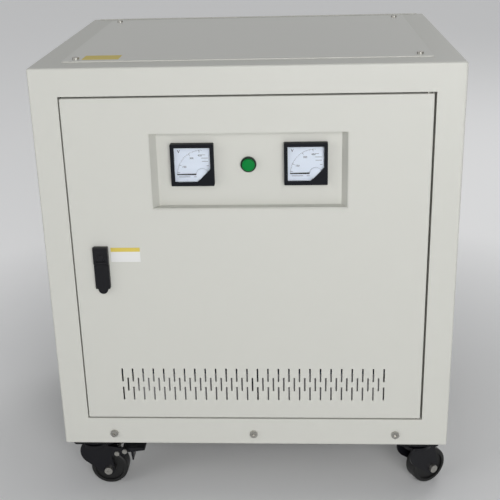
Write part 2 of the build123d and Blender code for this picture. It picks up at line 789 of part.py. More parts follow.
# ================================================================ meters
half_window = meter_window / 2


def window_outline():
    """Meter window with its lower right corner cut off, drawn at both meters."""
    with Locations(*[(x, meter_z) for x in meter_xs]):
        Polygon(
            (-half_window, -half_window),
            (half_window - meter_corner, -half_window),
            (half_window, -half_window + meter_corner),
            (half_window, half_window),
            (-half_window, half_window),
            align=None,
        )


pointer_spots = [(x + pointer_pivot_x, meter_z + pointer_pivot_z) for x in meter_xs]

with BuildPart() as meter_cases:
    with BuildSketch(facing(tray_face_y)):
        with Locations(*[(x, meter_z) for x in meter_xs]):
            RectangleRounded(meter_face, meter_face, 1.5)
    extrude(amount=meter_stand)
    fillet(meter_cases.faces().sort_by(Axis.Y)[0].edges() + meter_cases.faces().sort_by(Axis.Y)[1].edges(), radius=0.8)
    with BuildSketch(facing(tray_face_y)):
        with Locations(*[(x, meter_z) for x in meter_xs]):
            Rectangle(meter_body, meter_body)
    extrude(amount=-meter_body_depth)
    with BuildSketch(facing(meter_front_y)):
        window_outline()
    extrude(amount=-meter_pocket, mode=Mode.SUBTRACT)
    with BuildSketch(facing(pocket_floor_y)):
        with Locations(*pointer_spots):
            Circle(pointer_pin_dia / 2 + 0.05)
    extrude(amount=-6, mode=Mode.SUBTRACT)
keep(meter_cases.part, "meter_cases")

with BuildPart() as meter_dials:
    with BuildSketch(facing(pocket_floor_y)):
        window_outline()
    extrude(amount=dial_thickness)
    with BuildSketch(facing(pocket_floor_y)):
        with Locations(*pointer_spots):
            Circle(1.5)
    extrude(amount=dial_thickness, mode=Mode.SUBTRACT)
keep(meter_dials.part, "meter_dials")

with BuildPart() as meter_lenses:
    with BuildSketch(facing(meter_front_y + lens_setback + lens_thickness)):
        window_outline()
    extrude(amount=lens_thickness)
keep(meter_lenses.part, "meter_lenses")

pointer_y = pocket_floor_y - dial_thickness - 1.2
for side, (x, z) in zip(("left", "right"), pointer_spots):
    with BuildPart() as pointer:
        with BuildSketch(facing(pointer_y)):
            with Locations((x, z)):
                Circle(pointer_hub_dia / 2)
                Polygon(
                    (0, -pointer_width / 2),
                    (0, pointer_width / 2),
                    (-pointer_length, pointer_width / 3),
                    (-pointer_length, -pointer_width / 3),
                    align=None,
                )
        extrude(amount=1.0)
        with BuildSketch(facing(pointer_y)):
            with Locations((x, z)):
                Circle(pointer_pin_dia / 2)
        extrude(amount=-6)
    keep(pointer.part, side + "_pointer")

with BuildPart() as hub_covers:
    with BuildSketch(facing(pointer_y - 1.0 - hub_cover_gap)):
        with Locations(*pointer_spots):
            Circle(hub_cover_dia / 2)
        with BuildSketch(facing(pointer_y - 1.0 - hub_cover_gap), mode=Mode.INTERSECT):
            window_outline()
    extrude(amount=hub_cover_thickness)
keep(hub_covers.part, "hub_covers")

# ================================================================ pilot lamp
with BuildPart() as lamp_body:
    with BuildSketch(facing(tray_face_y)):
        with Locations((lamp_x, lamp_z)):
            Circle(lamp_bezel_dia / 2)
    extrude(amount=lamp_bezel_height)
    fillet(lamp_body.faces().sort_by(Axis.Y)[0].edges(), radius=1.2)
    with BuildSketch(facing(tray_face_y)):
        with Locations((lamp_x, lamp_z)):
            Circle(lamp_body_dia / 2)
    extrude(amount=-lamp_body_length)
    with BuildSketch(facing(tray_face_y - lamp_bezel_height)):
        with Locations((lamp_x, lamp_z)):
            Circle(lamp_lens_dia / 2)
    extrude(amount=-3, mode=Mode.SUBTRACT)
    with BuildSketch(facing(tray_floor_y)):
        with Locations((lamp_x, lamp_z)):
            RegularPolygon(lamp_nut_dia / 2, 6)
    extrude(amount=-lamp_nut_height)
keep(lamp_body.part, "lamp_body")

with BuildPart() as lamp_lens:
    with BuildSketch(facing(tray_face_y - lamp_bezel_height + 3)):
        with Locations((lamp_x, lamp_z)):
            Circle(lamp_lens_dia / 2)
    extrude(amount=3 + lamp_lens_height)
    fillet(lamp_lens.faces().sort_by(Axis.Y)[0].edges(), radius=3)
keep(lamp_lens.part, "lamp_lens")

# ================================================================ door lock
head_back_y = lock_plate_y - lock_fit
head_front_y = head_back_y - lock_head_height + lock_fit
knuckle_r = (head_back_y - head_front_y) / 2
knuckle_y = (head_back_y + head_front_y) / 2
knuckle_z = lock_head_low + knuckle_r
lug = 4.0
trunnion_dia = 2.6
spindle_end_y = front + door_stop_depth + sheet + lock_cam_clearance


def lock_outline(width, low):
    """Lock plate shape: a rounded rectangle with a tongue below it."""
    with Locations((lock_x, (lock_top + low) / 2)):
        RectangleRounded(width, lock_top - low, 2)
    with Locations((lock_x, low - lock_tab_drop + lock_tab_radius)):
        Circle(lock_tab_radius)
        Rectangle(2 * lock_tab_radius, lock_tab_radius + 2, align=(Align.CENTER, Align.MIN))


with BuildPart() as lock_body:
    with BuildSketch(facing(front)):
        lock_outline(lock_width, lock_low)
    extrude(amount=lock_plate)
    with BuildSketch(facing(front)):
        with Locations((lock_x, lock_axis_z)):
            Circle(lock_barrel_dia / 2)
    extrude(amount=-(spindle_end_y - front - lock_fit))
    with BuildSketch(facing(lock_plate_y)):
        with Locations((lock_x, lock_axis_z)):
            Circle(lock_spindle_dia / 2 + 0.08)
    extrude(amount=-2 * door_stop_depth, mode=Mode.SUBTRACT)
keep(lock_body.part, "lock_body")

with BuildPart() as lock_nut:
    with BuildSketch(facing(front + door_sheet)):
        with Locations((lock_x, lock_axis_z)):
            RegularPolygon(lock_nut_dia / 2, 6, major_radius=False)
            Circle(lock_barrel_dia / 2, mode=Mode.SUBTRACT)
    extrude(amount=-lock_nut_height)
keep(lock_nut.part, "lock_nut")

with BuildPart() as lock_spindle:
    with BuildSketch(sideways(lock_x - lock_width / 2)):
        with Locations((knuckle_y, (lock_top + knuckle_z) / 2)):
            Rectangle(2 * knuckle_r, lock_top - knuckle_z)
        with Locations((knuckle_y, knuckle_z)):
            Circle(knuckle_r)
    extrude(amount=lock_width)
    fillet(lock_spindle.edges().filter_by(Axis.X).group_by(Axis.Z)[-1], radius=1.5)
    with Locations((lock_x, knuckle_y, knuckle_z - 1)):
        Box(lock_width - 2 * lug, 4 * knuckle_r, 2 * knuckle_r + 3, mode=Mode.SUBTRACT)
    with BuildSketch(sideways(lock_x - lock_width / 2 + lug / 2)):
        with Locations((knuckle_y, knuckle_z)):
            Circle(trunnion_dia / 2 + 0.05)
    extrude(amount=lock_width - lug, mode=Mode.SUBTRACT)
    with BuildSketch(facing(head_back_y)):
        with Locations((lock_x, lock_axis_z)):
            Circle(lock_spindle_dia / 2)
    extrude(amount=-(spindle_end_y - head_back_y))
    with BuildSketch(facing(spindle_end_y)):
        with Locations((lock_x, lock_axis_z)):
            Circle(4)
    extrude(amount=-(lock_cam_thickness + 8))
    with BuildSketch(facing(head_front_y)):
        with Locations((lock_x, lock_axis_z)):
            Circle(lock_button_dia / 2 + lock_fit)
    extrude(amount=-4, mode=Mode.SUBTRACT)
keep(lock_spindle.part, "lock_spindle")

with BuildPart() as lock_cam:
    with BuildSketch(facing(spindle_end_y)):
        with Locations((lock_x, lock_axis_z)):
            Circle(lock_cam_width / 2)
            Rectangle(lock_cam_width, lock_cam_reach, align=(Align.CENTER, Align.MAX))
            Circle(4, mode=Mode.SUBTRACT)
    extrude(amount=-lock_cam_thickness)
    with BuildSketch(facing(spindle_end_y + lock_cam_thickness)):
        with Locations((lock_x, lock_axis_z)):
            RegularPolygon(6.5, 6, major_radius=False)
            Circle(4, mode=Mode.SUBTRACT)
    extrude(amount=-6.5)
keep(lock_cam.part, "lock_cam")

lever_low = lock_low
lever_wide_top = knuckle_z - knuckle_r - 0.6
with BuildPart() as lock_lever:
    with BuildSketch(facing(head_back_y)):
        with Locations((lock_x, (lever_wide_top + lever_low) / 2)):
            Rectangle(lock_width, lever_wide_top - lever_low)
        with Locations((lock_x, lever_low - lock_tab_drop + lock_tab_radius)):
            Circle(lock_tab_radius)
            Rectangle(2 * lock_tab_radius, lock_tab_radius + 2, align=(Align.CENTER, Align.MIN))
        with Locations((lock_x, lever_low)):
            Rectangle(lock_width - 2 * lug - 0.8, knuckle_z - lever_low, align=(Align.CENTER, Align.MIN))
    extrude(amount=lock_grip_thickness)
    fillet(lock_lever.edges().filter_by(Axis.Y).group_by(Axis.Z)[1], radius=2)
    with BuildSketch(sideways(lock_x - lock_width / 2 + lug + 0.4)):
        with Locations((knuckle_y, knuckle_z)):
            Circle(knuckle_r - 0.35)
    extrude(amount=lock_width - 2 * lug - 0.8)
    with BuildSketch(sideways(lock_x - lock_width / 2 + lug / 2 + 0.3)):
        with Locations((knuckle_y, knuckle_z)):
            Circle(trunnion_dia / 2)
    extrude(amount=lock_width - lug - 0.6)
keep(lock_lever.part, "lock_lever")

with BuildPart() as lock_button:
    with BuildSketch(facing(head_front_y - lock_button_proud)):
        with Locations((lock_x, lock_axis_z)):
            Circle(lock_button_dia / 2)
    extrude(amount=-(lock_button_proud + 4 - lock_button_travel - 0.5))
    fillet(lock_button.faces().sort_by(Axis.Y)[0].edges(), radius=0.8)
keep(lock_button.part, "lock_button")

# ================================================================ casters
raceway_low = plate_low - raceway_height
crown_top = raceway_low - raceway_gap
crown_low = crown_top - crown_thickness
leg_in = wheel_width / 2 + fork_clearance
leg_out = leg_in + fork_leg
caster_spots = {
    "front_left": (-caster_x, -caster_y, 0),
    "front_right": (caster_x, -caster_y, 30),
    "back_left": (-caster_x, caster_y, 20),
    "back_right": (caster_x, caster_y, 165),
}

with BuildPart() as caster_plates:
    with Locations(*[(x, y, base) for x, y, turn in caster_spots.values()]):
        Box(caster_plate_length, caster_plate_width, caster_plate_thickness, align=(Align.CENTER, Align.CENTER, Align.MAX))
    fillet(caster_plates.edges().filter_by(Axis.Z), radius=8)
    with Locations(*[(x, y, plate_low) for x, y, turn in caster_spots.values()]):
        Cone(raceway_dia / 2 - 5, raceway_dia / 2, raceway_height, align=(Align.CENTER, Align.CENTER, Align.MAX))
        Cylinder(kingpin_dia / 2, raceway_height + raceway_gap + crown_thickness + 0.3,
                 align=(Align.CENTER, Align.CENTER, Align.MAX))
    with Locations(*[(x, y, crown_low - 0.3) for x, y, turn in caster_spots.values()]):
        Cylinder(9, 5, align=(Align.CENTER, Align.CENTER, Align.MAX))
    with Locations(*[(x, y, base) for x, y, turn in caster_spots.values()]):
        with GridLocations(2 * caster_bolt_x, 2 * caster_bolt_y, 2, 2):
            Cylinder(caster_bolt_dia / 2 + screw_clearance, 3 * caster_plate_thickness, mode=Mode.SUBTRACT)
keep(caster_plates.part, "caster_plates")

with BuildPart() as caster_bolts:
    with Locations(*[(x, y, floor_top) for x, y, turn in caster_spots.values()]):
        with GridLocations(2 * caster_bolt_x, 2 * caster_bolt_y, 2, 2):
            Cylinder(6.5, 6.5, align=(Align.CENTER, Align.CENTER, Align.MIN))
            Cylinder(caster_bolt_dia / 2, sheet + caster_plate_thickness, align=(Align.CENTER, Align.CENTER, Align.MAX))
            with Locations((0, 0, -sheet - caster_plate_thickness)):
                Cylinder(5.8, 3.5, align=(Align.CENTER, Align.CENTER, Align.MAX))
keep(caster_bolts.part, "caster_bolts")


def leg_plane(y):
    return Plane(origin=(0, y, 0), x_dir=(1, 0, 0), z_dir=(0, -1, 0))


def link(x1, z1, r1, x2, z2, r2):
    """Outline of two round ends and the straight sides tangent to both, in the current sketch."""
    along = math.atan2(z2 - z1, x2 - x1)
    lean = math.acos((r1 - r2) / math.hypot(x2 - x1, z2 - z1))
    corners = []
    for x, z, r, side in ((x1, z1, r1, 1), (x2, z2, r2, 1), (x2, z2, r2, -1), (x1, z1, r1, -1)):
        corners.append((x + r * math.cos(along + side * lean), z + r * math.sin(along + side * lean)))
    Polygon(*corners, align=None)
    with Locations((x1, z1)):
        Circle(r1)
    with Locations((x2, z2)):
        Circle(r2)


def fork(braked):
    """Caster fork about its swivel axis, trailing towards +X."""
    with BuildPart() as body:
        with Locations((0, 0, crown_top)):
            Cylinder(raceway_dia / 2, crown_thickness, align=(Align.CENTER, Align.CENTER, Align.MAX))
        with BuildSketch(leg_plane(-leg_in), leg_plane(leg_out)):
            link(0, crown_low - 10, raceway_dia / 2, caster_trail, wheel_radius, fork_boss_radius)
            with Locations((0, crown_top)):
                Rectangle(4 * raceway_dia, raceway_dia, align=(Align.CENTER, Align.MIN), mode=Mode.SUBTRACT)
            if braked:
                link(22, crown_low - 10, 14, pedal_pivot_x, pedal_pivot_height, 6.5)
        extrude(amount=fork_leg)
        with Locations((0, 0, crown_top)):
            Cylinder(kingpin_dia / 2 + kingpin_clearance, 4 * crown_thickness, mode=Mode.SUBTRACT)
        with BuildSketch(leg_plane(-leg_out)):
            with Locations((caster_trail, wheel_radius)):
                Circle(axle_dia / 2)
            if braked:
                with Locations((pedal_pivot_x, pedal_pivot_height), (rivet_x, rivet_height)):
                    Circle(pedal_pin_dia / 2)
        extrude(amount=-2 * leg_out, mode=Mode.SUBTRACT)
    return body.part


def axle(braked):
    """Axle with a head and a nut, and on a braked caster the two rivets across the fork."""
    with BuildPart() as body:
        with BuildSketch(leg_plane(-leg_out)):
            with Locations((caster_trail, wheel_radius)):
                Circle(axle_dia / 2)
            if braked:
                with Locations((pedal_pivot_x, pedal_pivot_height), (rivet_x, rivet_height)):
                    Circle(pedal_pin_dia / 2)
        extrude(amount=-2 * leg_out)
        with BuildSketch(leg_plane(-leg_out), leg_plane(leg_out + axle_head_height)):
            with Locations((caster_trail, wheel_radius)):
                Circle(axle_head_dia / 2)
        extrude(amount=axle_head_height)
        if braked:
            with BuildSketch(leg_plane(-leg_out), leg_plane(leg_out + 2)):
                with Locations((pedal_pivot_x, pedal_pivot_height), (rivet_x, rivet_height)):
                    Circle(5)
            extrude(amount=2)
    return body.part


def wheel():
    """Wheel on its axle line."""
    with BuildPart() as body:
        with BuildSketch(leg_plane(-wheel_width / 2)):
            with Locations((caster_trail, wheel_radius)):
                Circle(wheel_radius)
        extrude(amount=-wheel_width)
        fillet(body.edges(), radius=5)
        with BuildSketch(leg_plane(-leg_in + 0.3)):
            with Locations((caster_trail, wheel_radius)):
                Circle(11)
        extrude(amount=-2 * (leg_in - 0.3))
        with BuildSketch(leg_plane(-wheel_width / 2), leg_plane(wheel_width / 2 - 4)):
            with Locations((caster_trail, wheel_radius)):
                Circle(wheel_radius - 8)
                Circle(14, mode=Mode.SUBTRACT)
        extrude(amount=-4, mode=Mode.SUBTRACT)
        with BuildSketch(leg_plane(-leg_in)):
            with Locations((caster_trail, wheel_radius)):
                Circle(axle_dia / 2 + wheel_bore_clearance)
        extrude(amount=-2 * leg_in, mode=Mode.SUBTRACT)
    return body.part


def pedal():
    """Brake pedal with its shoe, between the fork's legs."""
    shoe_angle = math.atan2(wheel_radius - pedal_pivot_height, caster_trail - pedal_pivot_x)
    shoe_angle += math.radians(pedal_swing_rest)
    shoe_x = pedal_pivot_x + shoe_reach * math.cos(shoe_angle)
    shoe_z = pedal_pivot_height + shoe_reach * math.sin(shoe_angle)
    half = leg_in - 0.5
    with BuildPart() as body:
        with BuildSketch(leg_plane(-half)):
            link(pedal_pivot_x, pedal_pivot_height, 6, shoe_x, shoe_z, 3)
            link(pedal_pivot_x, pedal_pivot_height, 6, pedal_pivot_x + pedal_reach, pedal_pivot_height + 2, 2.5)
            link(pedal_pivot_x + 14, pedal_pivot_height, 3, pedal_pivot_x + 15, pedal_pivot_height - 22, 1.5)
            with Locations((pedal_pivot_x, pedal_pivot_height)):
                Circle(pedal_pin_dia / 2 + 0.1, mode=Mode.SUBTRACT)
        extrude(amount=-2 * half)
    return body.part


for name, (x, y, turn) in caster_spots.items():
    braked = name in ("front_left", "back_right")
    spot = Location((x, y, 0), (0, 0, turn))
    keep(spot * fork(braked), name + "_fork")
    keep(spot * axle(braked), name + "_axle")
    keep(spot * wheel(), name + "_wheel")
    if braked:
        keep(spot * pedal(), name + "_pedal")

# ================================================================ write
os.makedirs("parts", exist_ok=True)
for piece in pieces:
    export_step(piece, os.path.join("parts", piece.label + ".step"))
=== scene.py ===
"""Dry type transformer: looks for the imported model, in metres and in its frame."""

import math

import bmesh
import bpy
from mathutils import Matrix, Vector


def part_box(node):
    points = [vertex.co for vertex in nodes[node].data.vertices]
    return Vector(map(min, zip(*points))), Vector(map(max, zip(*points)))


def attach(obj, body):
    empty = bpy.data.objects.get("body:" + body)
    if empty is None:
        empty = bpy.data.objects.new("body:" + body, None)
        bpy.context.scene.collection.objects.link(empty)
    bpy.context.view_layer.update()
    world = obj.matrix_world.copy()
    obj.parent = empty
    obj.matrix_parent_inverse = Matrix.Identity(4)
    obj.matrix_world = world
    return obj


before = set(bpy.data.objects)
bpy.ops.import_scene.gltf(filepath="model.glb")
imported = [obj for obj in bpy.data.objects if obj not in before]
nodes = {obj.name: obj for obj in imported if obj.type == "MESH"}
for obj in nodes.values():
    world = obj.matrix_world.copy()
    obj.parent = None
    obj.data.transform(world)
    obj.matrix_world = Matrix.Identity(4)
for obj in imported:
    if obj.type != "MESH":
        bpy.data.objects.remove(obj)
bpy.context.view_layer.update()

MM = 0.001
CASTERS = ("front_left", "front_right", "back_left", "back_right")
BRAKED = ("front_left", "back_right")

# ---------------------------------------------------------------- materials


def shade(name, colour, roughness, metallic=0.0, coat=0.0, specular=0.5):
    """Plain surface with its colour and gloss on the shader."""
    material = bpy.data.materials.new(name)
    material.use_nodes = True
    shader = material.node_tree.nodes["Principled BSDF"]
    shader.inputs["Base Color"].default_value = (*colour, 1.0)
    shader.inputs["Roughness"].default_value = roughness
    shader.inputs["Metallic"].default_value = metallic
    shader.inputs["Coat Weight"].default_value = coat
    shader.inputs["Specular IOR Level"].default_value = specular
    return material


def add_noise_bump(material, scale, strength, distance, detail=2.0):
    """Fine uneven surface on the piece's own coordinates."""
    tree = material.node_tree
    place = tree.nodes.new("ShaderNodeTexCoord")
    noise = tree.nodes.new("ShaderNodeTexNoise")
    noise.inputs["Scale"].default_value = scale
    noise.inputs["Detail"].default_value = detail
    bump = tree.nodes.new("ShaderNodeBump")
    bump.inputs["Strength"].default_value = strength
    bump.inputs["Distance"].default_value = distance
    tree.links.new(place.outputs["Object"], noise.inputs["Vector"])
    tree.links.new(noise.outputs["Fac"], bump.inputs["Height"])
    tree.links.new(bump.outputs["Normal"], tree.nodes["Principled BSDF"].inputs["Normal"])
    return material


def add_roughness_patches(material, scale, low, high):
    """Gloss that changes slowly over the surface, as handled metal has."""
    tree = material.node_tree
    place = tree.nodes.new("ShaderNodeTexCoord")
    noise = tree.nodes.new("ShaderNodeTexNoise")
    noise.inputs["Scale"].default_value = scale
    spread = tree.nodes.new("ShaderNodeMapRange")
    spread.inputs["From Min"].default_value = 0.3
    spread.inputs["From Max"].default_value = 0.7
    spread.inputs["To Min"].default_value = low
    spread.inputs["To Max"].default_value = high
    tree.links.new(place.outputs["Object"], noise.inputs["Vector"])
    tree.links.new(noise.outputs["Fac"], spread.inputs["Value"])
    tree.links.new(spread.outputs["Result"], tree.nodes["Principled BSDF"].inputs["Roughness"])
    return material


def add_bands(material, axis, pitch, dark, strength):
    """Fine parallel lines, such as laminations or turns, in colour and in bump."""
    tree = material.node_tree
    shader = tree.nodes["Principled BSDF"]
    place = tree.nodes.new("ShaderNodeTexCoord")
    wave = tree.nodes.new("ShaderNodeTexWave")
    wave.bands_direction = axis
    wave.inputs["Scale"].default_value = math.pi / (10.0 * pitch)
    wave.inputs["Distortion"].default_value = 0.4
    wave.inputs["Detail"].default_value = 1.0
    ramp = tree.nodes.new("ShaderNodeValToRGB")
    light = shader.inputs["Base Color"].default_value[:3]
    ramp.color_ramp.elements[0].color = (*[channel * dark for channel in light], 1.0)
    ramp.color_ramp.elements[1].color = (*light, 1.0)
    ramp.color_ramp.elements[1].position = 0.5
    bump = tree.nodes.new("ShaderNodeBump")
    bump.inputs["Strength"].default_value = strength
    bump.inputs["Distance"].default_value = 0.5 * MM
    tree.links.new(place.outputs["Object"], wave.inputs["Vector"])
    tree.links.new(wave.outputs["Fac"], ramp.inputs["Fac"])
    tree.links.new(ramp.outputs["Color"], shader.inputs["Base Color"])
    tree.links.new(wave.outputs["Fac"], bump.inputs["Height"])
    tree.links.new(bump.outputs["Normal"], shader.inputs["Normal"])
    return material


def clear_lens(name):
    """Thin clear window that lets the dial show at full strength."""
    material = shade(name, (1.0, 1.0, 1.0), 0.05)
    shader = material.node_tree.nodes["Principled BSDF"]
    shader.inputs["Transmission Weight"].default_value = 1.0
    shader.inputs["IOR"].default_value = 1.1
    return material


WARM_GREY = (0.60, 0.60, 0.555)
cabinet_paint = add_noise_bump(shade("cabinet_powder_coat", WARM_GREY, 0.42), 900, 0.05, 0.2 * MM)
top_paint = add_noise_bump(shade("cover_powder_coat", WARM_GREY, 0.30), 420, 0.22, 0.2 * MM)
black_paint = add_noise_bump(
    shade("black_enamel", (0.005, 0.005, 0.007), 0.34, specular=0.28), 500, 0.1, 0.2 * MM
)
black_plastic = add_noise_bump(
    shade("black_moulding", (0.003, 0.004, 0.007), 0.5, specular=0.15), 1200, 0.12, 0.1 * MM
)
zinc = add_roughness_patches(shade("zinc_plate", (0.44, 0.43, 0.40), 0.3, 1.0), 60, 0.22, 0.42)
core_steel = add_bands(
    shade("varnished_laminations", (0.10, 0.11, 0.125), 0.38, 0.6), "Y", 2.6 * MM, 0.45, 0.6
)
clamp_paint = add_noise_bump(shade("clamp_enamel", (0.045, 0.075, 0.13), 0.45), 300, 0.1, 0.3 * MM)
winding_wrap = add_bands(shade("varnished_winding", (0.32, 0.115, 0.035), 0.33), "Z", 5.0 * MM, 0.35, 0.9)
copper = add_roughness_patches(shade("copper_bar", (0.72, 0.32, 0.16), 0.3, 1.0), 40, 0.25, 0.45)
laminate = add_noise_bump(shade("glass_laminate", (0.38, 0.07, 0.03), 0.4), 250, 0.1, 0.2 * MM)
stick_wood = add_bands(shade("varnished_stick", (0.45, 0.28, 0.12), 0.5), "X", 3.0 * MM, 0.7, 0.3)
dial_card = shade("dial_card", (0.62, 0.68, 0.77), 0.5)
dial_ink = shade("dial_ink", (0.01, 0.01, 0.012), 0.6)
dial_ink_pale = shade("dial_ink_pale", (0.25, 0.27, 0.30), 0.6)
meter_window = clear_lens("meter_window")
pointer_paint = shade("pointer_paint", (0.008, 0.008, 0.008), 0.5)
lamp_green = add_noise_bump(
    shade("lamp_green", (0.0, 0.20, 0.036), 0.3, specular=0.12), 350, 0.25, 0.3 * MM
)
lamp_ring = shade("lamp_ring", (0.001, 0.016, 0.006), 0.35, specular=0.25)
wheel_rubber = add_noise_bump(
    shade("wheel_rubber", (0.010, 0.010, 0.010), 0.45, specular=0.35), 250, 0.15, 0.3 * MM
)
pad_rubber = add_noise_bump(shade("pad_rubber", (0.025, 0.025, 0.025), 0.8), 200, 0.2, 0.3 * MM)
tag_yellow = add_noise_bump(shade("tag_yellow", (0.66, 0.52, 0.09), 0.5), 120, 0.15, 0.3 * MM)
tag_white = add_noise_bump(shade("tag_white", (0.74, 0.74, 0.73), 0.45), 120, 0.12, 0.3 * MM)

finish = {
    cabinet_paint: (
        "enclosure_frame",
        "left_panel",
        "right_panel",
        "back_panel",
        "door_panel",
        "instrument_tray",
    ),
    top_paint: ("top_cover",),
    black_paint: (
        "lock_body",
        "lock_spindle",
        "lock_lever",
        "lock_button",
        "caster_plates",
        *[corner + "_fork" for corner in CASTERS],
        *[corner + "_pedal" for corner in BRAKED],
    ),
    zinc: (
        "cover_screws",
        "panel_screws",
        "front_bolts",
        "hinge_pins",
        "base_rails",
        "yoke_bolts",
        "tie_rods",
        "board_bolts",
        "board_brackets",
        "caster_bolts",
        "lock_nut",
        "lock_cam",
        *[corner + "_axle" for corner in CASTERS],
    ),
    core_steel: ("core",),
    clamp_paint: ("lower_clamps", "upper_clamps"),
    winding_wrap: ("inner_windings", "outer_windings"),
    copper: ("input_terminals", "output_terminals", "leads", "earth_bar"),
    laminate: ("terminal_boards", "winding_blocks"),
    stick_wood: ("duct_sticks",),
    black_plastic: ("meter_cases",),
    dial_card: ("meter_dials", "hub_covers"),
    meter_window: ("meter_lenses",),
    pointer_paint: ("left_pointer", "right_pointer"),
    lamp_ring: ("lamp_body",),
    lamp_green: ("lamp_lens",),
    wheel_rubber: tuple(corner + "_wheel" for corner in CASTERS),
    pad_rubber: ("core_pads",),
}
for material, names in finish.items():
    for name in names:
        node = nodes[name]
        node.data.materials.clear()
        node.data.materials.append(material)

# ---------------------------------------------------------------- shaping new pieces


def deselect():
    """Leaves nothing selected."""
    bpy.ops.object.select_all(action="DESELECT")


def settle(name, material, body):
    """Names the active piece, puts its place into its mesh and hands it to its body."""
    piece = bpy.context.object
    bpy.ops.object.transform_apply(location=True, rotation=True, scale=True)
    piece.name = name
    piece.data.name = name
    piece.data.materials.clear()
    piece.data.materials.append(material)
    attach(piece, body)
    return piece


def block(size, centre, turn=(0.0, 0.0, 0.0)):
    """Adds a box of full size at its centre, left active and selected."""
    deselect()
    bpy.ops.mesh.primitive_cube_add(size=1, location=centre, rotation=turn, scale=size)
    return bpy.context.object


def join(parts):
    """Joins pieces into the first one."""
    deselect()
    for part in parts:
        part.select_set(True)
    bpy.context.view_layer.objects.active = parts[0]
    bpy.ops.object.join()
    return parts[0]


def bevel_all(width, segments=2):
    """Rounds every edge of the active piece."""
    piece = bpy.context.object
    bpy.ops.object.transform_apply(location=True, rotation=True, scale=True)
    modifier = piece.modifiers.new("rounding", "BEVEL")
    modifier.width = width
    modifier.segments = segments
    bpy.ops.object.modifier_apply(modifier=modifier.name)


# ---------------------------------------------------------------- meter dials
dial_low, dial_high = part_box("meter_dials")
dial_side = dial_high.z - dial_low.z
dial_front = dial_low.y
PRINT_HEIGHT = 0.06 * MM
PRINT_BAR = 1.1 * MM
SCALE_LINE = 0.25 * MM
SCALE_SWEEP = math.pi / 2
ARC_STEPS = 32
POINTER_END = 3 * MM  # pointer's end past its pivot
SCALE_RADIUS = 44.5 * MM
NUMBER_RADIUS = 34.5 * MM
HUB_RADIUS = 10.5 * MM
HUB_LINE = 0.4 * MM
SCALE_MARKS = 26
SCALE_NUMBERS = ((4, ""), (23, "150"), (58, "300"), (84, "450"))  # degrees up the scale
SMALL_PRINT = ((19, 17.5, 8), (22, 11.5, 12), (22.5, 5.5, 11), (27, -2.5, 4), (-15, -23, 20), (4, -23, 5))


def outward(angle):
    """Direction across the dial; angle 0 points left and grows towards the top."""
    return Vector((-math.cos(angle), 0.0, math.sin(angle)))


def arc_band(centre, inner, outer, sweep):
    """Printed ring sector from the left upwards: one edge spun about the centre, then thickened."""
    deselect()
    bpy.ops.mesh.primitive_plane_add(size=1, location=(0, 0, 0))
    piece = bpy.context.object
    bpy.ops.object.mode_set(mode="EDIT")
    mesh = bmesh.from_edit_mesh(piece.data)
    mesh.verts.ensure_lookup_table()
    bmesh.ops.delete(mesh, geom=mesh.verts[2:], context="VERTS")
    mesh.verts.ensure_lookup_table()
    mesh.verts[0].co = centre + outward(0) * inner
    mesh.verts[1].co = centre + outward(0) * outer
    bmesh.update_edit_mesh(piece.data)
    bpy.ops.mesh.select_all(action="SELECT")
    bpy.ops.mesh.spin(steps=ARC_STEPS, angle=-sweep, center=centre, axis=(0, 1, 0))
    bpy.ops.mesh.select_all(action="SELECT")
    bpy.ops.mesh.normals_make_consistent(inside=False)
    bpy.ops.object.mode_set(mode="OBJECT")
    solid = piece.modifiers.new("thickness", "SOLIDIFY")
    solid.thickness = PRINT_HEIGHT
    solid.offset = 0
    bpy.ops.object.modifier_apply(modifier=solid.name)
    return piece


def dial_mark(pivot, radius, length, width, angle):
    """One printed line that runs inwards from the scale."""
    centre = pivot + outward(angle) * (radius - length / 2)
    return block((length, PRINT_HEIGHT, width), centre, (0.0, angle, 0.0))


def dial_text(text, centre, height):
    """A plain number or unit printed on the dial."""
    deselect()
    bpy.ops.object.text_add(location=centre, rotation=(math.pi / 2, 0, 0))
    words = bpy.context.object
    words.data.body = text
    words.data.size = height
    words.data.align_x = "CENTER"
    words.data.align_y = "CENTER"
    words.data.extrude = PRINT_HEIGHT / 2
    words.data.offset = height * 0.012
    bpy.ops.object.convert(target="MESH")
    bpy.ops.object.transform_apply(location=True, rotation=True, scale=True)
    return bpy.context.object


def print_dial(side, corner_x):
    """Scale, numbers and small printing of one meter."""
    centre = Vector((corner_x + dial_side / 2, dial_front, (dial_low.z + dial_high.z) / 2))
    pointer_low, pointer_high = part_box(side + "_pointer")
    pivot = Vector((pointer_high.x - POINTER_END, dial_front, (pointer_low.z + pointer_high.z) / 2))
    parts = [arc_band(pivot, SCALE_RADIUS - SCALE_LINE, SCALE_RADIUS, SCALE_SWEEP)]
    for index in range(SCALE_MARKS):
        angle = index / (SCALE_MARKS - 1) * SCALE_SWEEP
        parts.append(dial_mark(pivot, SCALE_RADIUS, 1.8 * MM, 0.3 * MM, angle))
    for degrees, text in SCALE_NUMBERS:
        angle = math.radians(degrees)
        parts.append(dial_mark(pivot, SCALE_RADIUS, 4.5 * MM, 0.6 * MM, angle))
        if text:
            parts.append(dial_text(text, pivot + outward(angle) * NUMBER_RADIUS, 4.8 * MM))
    parts.append(dial_text("V", centre + Vector((-24 * MM, 0, 23.5 * MM)), 8 * MM))
    join(parts)
    settle(side + "_dial_scale", dial_ink, "door")
    lines = [arc_band(pivot, HUB_RADIUS, HUB_RADIUS + HUB_LINE, math.pi)]
    for x, z, length in SMALL_PRINT:
        lines.append(block((length * MM, PRINT_HEIGHT, PRINT_BAR), centre + Vector((x * MM, 0, z * MM))))
    join(lines)
    settle(side + "_dial_lines", dial_ink_pale, "door")


print_dial("left", dial_low.x)
print_dial("right", dial_high.x - dial_side)

